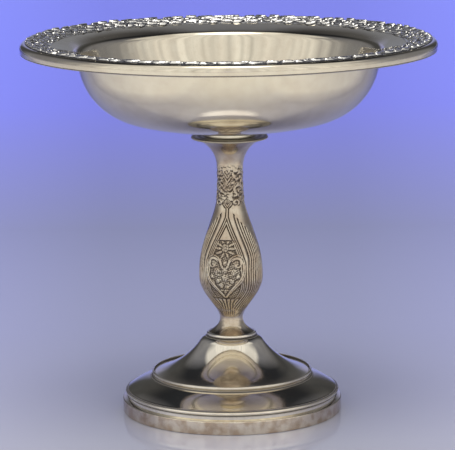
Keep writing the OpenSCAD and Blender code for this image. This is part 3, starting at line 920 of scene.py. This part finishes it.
def makeStem(name, turn, node):
    s = stem
    share = np.linspace(-1, 1, s["columns"] + 1)
    z = np.linspace(0, stemHeight, s["rows"] + 1)
    Z, S = np.meshgrid(z, share, indexing="ij")
    relief = stemRelief(S, Z)
    seam = falling(np.abs(S), 1, s["seamShare"])
    r = stemRadius(Z) + s["reliefHeight"] * relief - s["seamDepth"] * (1 - seam)
    a = S * math.pi / 2
    outer = np.stack([r * np.sin(a), -r * np.cos(a) - film / 2, Z + stemFoot], axis=-1)
    columns = s["insideColumns"]
    innerA = np.linspace(math.pi / 2, -math.pi / 2, columns)
    innerR = np.maximum(stemRadius(z) - s["reliefHeight"] - s["sheet"], s["leastInside"])[:, None]
    innerZ = np.broadcast_to((z + stemFoot)[:, None], (len(z), columns))
    innerY = -innerR * np.cos(innerA) - film / 2
    inner = np.stack([innerR * np.sin(innerA), innerY, innerZ], axis=-1)
    ring = np.concatenate([outer, inner], axis=1)
    count = ring.shape[1]
    faces = [(i * count + j, i * count + (j + 1) % count,
              (i + 1) * count + (j + 1) % count, (i + 1) * count + j)
             for i in range(len(z) - 1) for j in range(count)]
    faces.append(tuple(range(count))[::-1])
    faces.append(tuple((len(z) - 1) * count + j for j in range(count)))
    values = np.concatenate([stemGrime(relief, Z), np.ones((len(z), columns))], axis=1).ravel()
    turned = ring.reshape(-1, 3) * (turn, turn, 1)
    piece = newPiece(name, turned * mm, faces, stemSilver, values)
    outwards(piece)
    piece.data.set_sharp_from_angle(angle=math.radians(s["sharpAngle"]))
    belongs(piece, "silver_ornament", node)


makeStem("stemFront", 1, "stem_front")
makeStem("stemBack", -1, "stem_back")
print("stem struck")

# Foot
footHigh = boxMm("foot_shell")[1]
foot = {
    "radius": footHigh[0],
    "height": footHigh[2],
    "sheet": 0.8, "skirtHeight": 5.0, "domeHeight": 15.0, "bandWidth": 10.0,
    "stepWidth": 1.0, "lowBeadZ": 7.5, "beadRadius": 0.65, "collarRadius": 9.2,
    "collarBead": 0.7, "rodHole": 2.3, "domeSlopeTop": 20, "domeSlope": 56, "domeTurn": 5,
    "bandTurn": 8, "bevel": 0.4, "hem": 1.8, "plateRise": 0.9, "plateChamfer": 0.1,
    "grimeAndShadeReach": 0.5, "lowShadeShare": 0.7, "clean": (0.82, 0.765, 0.65),
}


def makeFoot():
    f = foot
    radius, height, sheet, hole = f["radius"], f["height"], f["sheet"], f["rodHole"]
    lowBead = radius - f["stepWidth"] - f["beadRadius"]
    lowBeadZ = f["lowBeadZ"]
    highBead = radius - f["stepWidth"] - f["bandWidth"] - f["beadRadius"]
    highBeadZ = height - f["domeHeight"]
    start = (f["collarRadius"] + film, height - 2 * f["collarBead"] - film)
    dome = arc([(*start, -f["domeSlopeTop"])], f["domeTurn"], -f["domeSlope"])
    fall = dome[-1][1] - highBeadZ
    run = highBead - dome[-1][0]
    domeEnd = f["domeSlope"] - 2 * math.degrees(math.atan(fall / run))
    dome = arc(dome, run / (sind(f["domeSlope"]) + sind(domeEnd)), domeEnd)
    bandStart = (highBead + f["beadRadius"], highBeadZ - 2 * f["beadRadius"])
    bandEnd = (lowBead, lowBeadZ + f["beadRadius"])
    mean = math.degrees(math.atan((bandStart[1] - bandEnd[1]) / (bandEnd[0] - bandStart[0])))
    turn = f["bandTurn"]
    bandR = (bandEnd[0] - bandStart[0]) / (sind(mean + turn) - sind(mean - turn))
    band = arc([(*bandStart, turn - mean)], bandR, -mean - turn)
    collar = f["collarRadius"] - f["collarBead"]
    skirt, edge, plate = f["skirtHeight"], f["bevel"], f["plateRise"] - film
    foldIn = radius - edge - f["hem"]
    outside = ([(hole, height)] + bead(collar, height - f["collarBead"], f["collarBead"])
               + lifted(dome) + bead(highBead, highBeadZ, f["beadRadius"]) + lifted(band)
               + bead(lowBead, lowBeadZ, f["beadRadius"]) + [(lowBead, skirt + edge)]
               + bead(radius - edge, skirt - edge, edge, 90, 0, 6)
               + bead(radius - edge, edge, edge, 0, -90, 6))
    inside = ([(foldIn, 0), (foldIn, plate), (radius - sheet, plate),
               (radius - sheet, skirt - sheet), (lowBead - sheet, skirt)]
              + lifted(band, -sheet)[::-1] + lifted(dome, -sheet)[::-1]
              + [(f["collarRadius"] - 2 * f["collarBead"] - sheet, height - sheet),
                 (hole, height - sheet), (hole, height)])
    # painted shade: dark lines along the creases by the collar, both beads and the band
    reach = f["grimeAndShadeReach"]
    grooves = [(*start, reach), (highBead, highBeadZ, reach), (*bandStart, reach),
               (lowBead, lowBeadZ - f["beadRadius"], reach),
               (*bandEnd, reach * f["lowShadeShare"])]
    footSilver = silver("footSilver", gloss=0.08, haze=0.06, age=0.6, ripple=0.3, grooves=grooves,
                        foxed=0.85, foxedBelow=skirt, clean=f["clean"])
    belongs(spun("footShell", outside + inside, footSilver), "silver_plain", "foot_shell")

    low, high = boxMm("base_plate")
    chamfer = f["plateChamfer"]
    section = [(0, low[2]), (high[0] - chamfer, low[2]), (high[0], low[2] + chamfer),
               (high[0], high[2]), (0, high[2])]
    belongs(spun("footPlate", section, plainSilver), "silver_plain", "base_plate")


makeFoot()
print("foot spun")

# Carried-over nodes
for name, material in (("tie_rod", rodSteel), ("neck_washer", rodSteel), ("rod_nut", rodSteel),
                       ("stem_packing", fillingCement), ("foot_filling", fillingCement)):
    mesh = nodes[name].data
    if mesh.materials:
        for i in range(len(mesh.materials)):
            nodes[name].material_slots[i].material = material
    else:
        mesh.materials.append(material)

# Floor and camera
stage = {
    # colours by metres behind the object, with painted light and shade in them: a bright painted
    #     # pool of light in front, a painted shade just in front of the object at -0.09, then
    #     darker
    #     # and bluer behind; they come nearer outside a strip that widens behind it, so the
    #     painted
    #     # pool of light wraps round the sides
    "floorShades": [
        (-0.24, (0.78, 0.77, 0.73)), (-0.09, (0.41, 0.41, 0.46)),
        (-0.05, (0.44, 0.445, 0.51)), (0.13, (0.375, 0.39, 0.535)),
        (0.36, (0.27, 0.285, 0.425)), (0.8, (0.235, 0.25, 0.8)),
        (1.5, (0.255, 0.285, 0.9)),
    ],
    "clearWidth": 0.1, "clearSpread": 0.09, "sideFade": 1.6, "floorRoughness": 0.07,
    "floorShine": 1.0, "floorIndex": 1.8, "floorSize": 12.0,
    # the camera's target: millimetres to the right of the axis, and up
    "target": (-1.1, 69.34), "azimuth": 12.0, "elevation": 10.7, "distance": 985.0,
    "roll": -0.6, "lens": 211.0, "sensor": 36.0, "clip": (0.05, 50.0),
}

# Lamps over the floor, which look straight down and stay out of reflections: metres, watts
lamps = {
    "nearFloorLight": {"place": (0.14, -0.4, 0.6), "size": (1.7, 0.7), "power": 4.2,
                       "colour": (1.0, 0.985, 0.96)},
    "farFloorLight": {"place": (-0.34, 1.6, 0.7), "size": (1.3, 2.2), "power": 15.0,
                      "colour": (0.08, 0.14, 1.0)},
}

# The room: a bright wall in front of the object, a ceiling light, a paler crown over the walls,
# and a dim back with a panel between dark corners. Places are on a sphere of radius 1. Pairs
# say where a part sets in or ends, and how steeply.
room = {
    "turn": 12.0, "glow": 1.14, "wallColour": (1.0, 0.985, 0.955), "wallRise": 6.0,
    "wallEdge": (-0.2, 2.5), "sideHeight": (0.66, 6.0),
    # the wall's brightness by degrees from the front
    "around": [
        (-180, 0.05), (-131, 0.04), (-108, 0.1), (-92, 0.36), (-72, 0.85), (-58, 1.0), (57, 1.0),
        (71, 0.85), (88, 0.33), (104, 0.12), (130, 0.04), (180, 0.05),
    ],
    # upright bands on it, as of curtains
    "bandScale": 55.0, "bandDetail": 4.0, "bandDepth": 1.0, "bandShade": 0.15,
    "crownFront": (-0.27, 8.0), "crownHeight": (0.56, 6.0), "crownShade": 0.66,
    "ceilingFront": 0.08, "ceilingReach": (0.5, 8.0), "coreReach": (0.25, 12.0),
    "coreGlow": 4.0,
    # the back's colours by height
    "behind": [
        (0.0, (0.24, 0.27, 0.6)), (0.12, (0.24, 0.265, 0.54)),
        (0.18, (0.27, 0.285, 0.52)), (0.25, (0.29, 0.3, 0.48)),
        (0.31, (0.1, 0.105, 0.13)), (0.42, (0.046, 0.046, 0.052)),
        (1.0, (0.02, 0.02, 0.023)),
    ],
    "panelColour": (0.17, 0.18, 0.215), "panelFront": (-0.25, 4.0),
    "panelSides": (0.1, 18.0), "panelTop": (0.8, 8.0), "cornerColour": (0.02, 0.022, 0.027),
    "cornerSides": (0.15, 10.0), "cornerFoot": (-0.05, 12.0),
    "sideColour": (0.17, 0.175, 0.205), "sideStart": (0.42, 5.0),
}


def towardsRoom(x, y):
    # how far a place is to the room's side and to its front
    turn = room["turn"]
    return x * cosd(turn) + y * sind(turn), x * sind(turn) - y * cosd(turn)


def makeFloor():
    s = stage
    material, tree = newMaterial("paleFloor")
    x, y = splitXYZ(tree, addNode(tree, "TexCoord", output="Object"))[:2]
    side, front = towardsRoom(x, y)
    behind = 0.0 - front
    clear = behind.greater(0.0) * s["clearSpread"] + s["clearWidth"]
    beside = (side.maths("ABSOLUTE") - clear).greater(0.0) * s["sideFade"]
    first, last = s["floorShades"][0][0], s["floorShades"][-1][0]
    stops = [((reach - first) / (last - first), colour) for reach, colour in s["floorShades"]]
    # painted light and shade: the ramp runs by distance behind the object, and beside the clear
    # strip it turns to the bright near colours
    colour = ramp(tree, (behind - beside - first) / (last - first), stops)
    finishMaterial(tree, Base_Color=colour, Roughness=s["floorRoughness"],
                   Specular_IOR_Level=s["floorShine"], IOR=s["floorIndex"])
    half = s["floorSize"] / 2
    corners = [(-half, -half, 0), (half, -half, 0), (half, half, 0), (-half, half, 0)]
    floor = newPiece("floor", corners, [(0, 1, 2, 3)], material)


def makeLamps():
    for name, lamp in lamps.items():
        light = bpy.data.lights.new(name, "AREA")
        light.shape = "RECTANGLE"
        light.size, light.size_y = lamp["size"]
        light.energy = lamp["power"]
        light.color = lamp["colour"]
        holder = linked(name, light)
        holder.location = lamp["place"]
        holder.visible_glossy = False


def makeWorld():
    world = bpy.data.worlds.new("studio")
    world.use_nodes = True
    bpy.context.scene.world = world
    tree = world.node_tree
    tree.nodes.clear()
    x, y, height = splitXYZ(tree, addNode(tree, "TexCoord", output="Generated"))
    side, front = towardsRoom(x, y)
    sideways = side.maths("ABSOLUTE")
    around = side.maths("ARCTAN2", front) * (0.5 / math.pi) + 0.5
    stops = [(angle / 360 + 0.5, (shade, shade, shade)) for angle, shade in room["around"]]
    inputs = {"W": around, "Scale": room["bandScale"], "Detail": room["bandDetail"]}
    bands = addNode(tree, "TexNoise", inputs, {"noise_dimensions": "1D"})
    high = (front * room["wallRise"] - height).after(*room["wallEdge"])
    wall = ramp(tree, around, stops) * high.greater(height.before(*room["sideHeight"]))
    wall = wall * (1.0 - (bands - 0.5) * room["bandDepth"] - room["bandShade"])
    forward = front - room["ceilingFront"]
    gap = (side * side + forward * forward) ** 0.5
    crown = front.after(*room["crownFront"]) * height.after(*room["crownHeight"])
    bright = wall.greater(gap.before(*room["ceilingReach"]))
    bright = bright.greater(crown * room["crownShade"]).clamped()

    corner = sideways.after(*room["cornerSides"]) * height.after(*room["cornerFoot"])
    beside = sideways.after(*room["sideStart"])
    cornerColour = mixColours(tree, beside, room["cornerColour"], room["sideColour"])
    dim = mixColours(tree, corner, ramp(tree, height, room["behind"]), cornerColour)
    panel = (front.before(*room["panelFront"]) * sideways.before(*room["panelSides"])
             * height.before(*room["panelTop"]))
    dim = mixColours(tree, panel, dim, room["panelColour"])
    colour = mixColours(tree, bright, dim, room["wallColour"])
    strength = gap.before(*room["coreReach"]) * room["coreGlow"] + room["glow"]
    glow = addNode(tree, "Background", {"Color": colour, "Strength": strength})
    addNode(tree, "OutputWorld", {"Surface": glow})


def facing(direction):
    # turns a camera, which looks along its own -Z, towards a direction
    x, y, z = direction
    return (math.atan2(math.hypot(x, y), -z), 0.0, math.atan2(-x, y))


def makeCamera():
    s = stage
    a, e = s["azimuth"], s["elevation"]
    right, up = s["target"]
    target = np.array([right * cosd(a), right * sind(a), up]) * mm
    away = np.array([cosd(e) * sind(a), -cosd(e) * cosd(a), sind(e)])
    camera = bpy.data.cameras.new("photoCamera")
    camera.lens = s["lens"]
    camera.sensor_width = s["sensor"]
    camera.clip_start, camera.clip_end = s["clip"]
    holder = linked("photoCamera", camera)
    holder.location = target + away * s["distance"] * mm
    rolled = Euler(facing(-away)).to_matrix() @ Matrix.Rotation(math.radians(s["roll"]), 3, "Z")
    holder.rotation_euler = rolled.to_euler()
    bpy.context.scene.camera = holder


makeFloor()
makeWorld()
makeCamera()
makeLamps()
bpy.context.scene.view_settings.view_transform = "Standard"
print("floor, light and camera set")
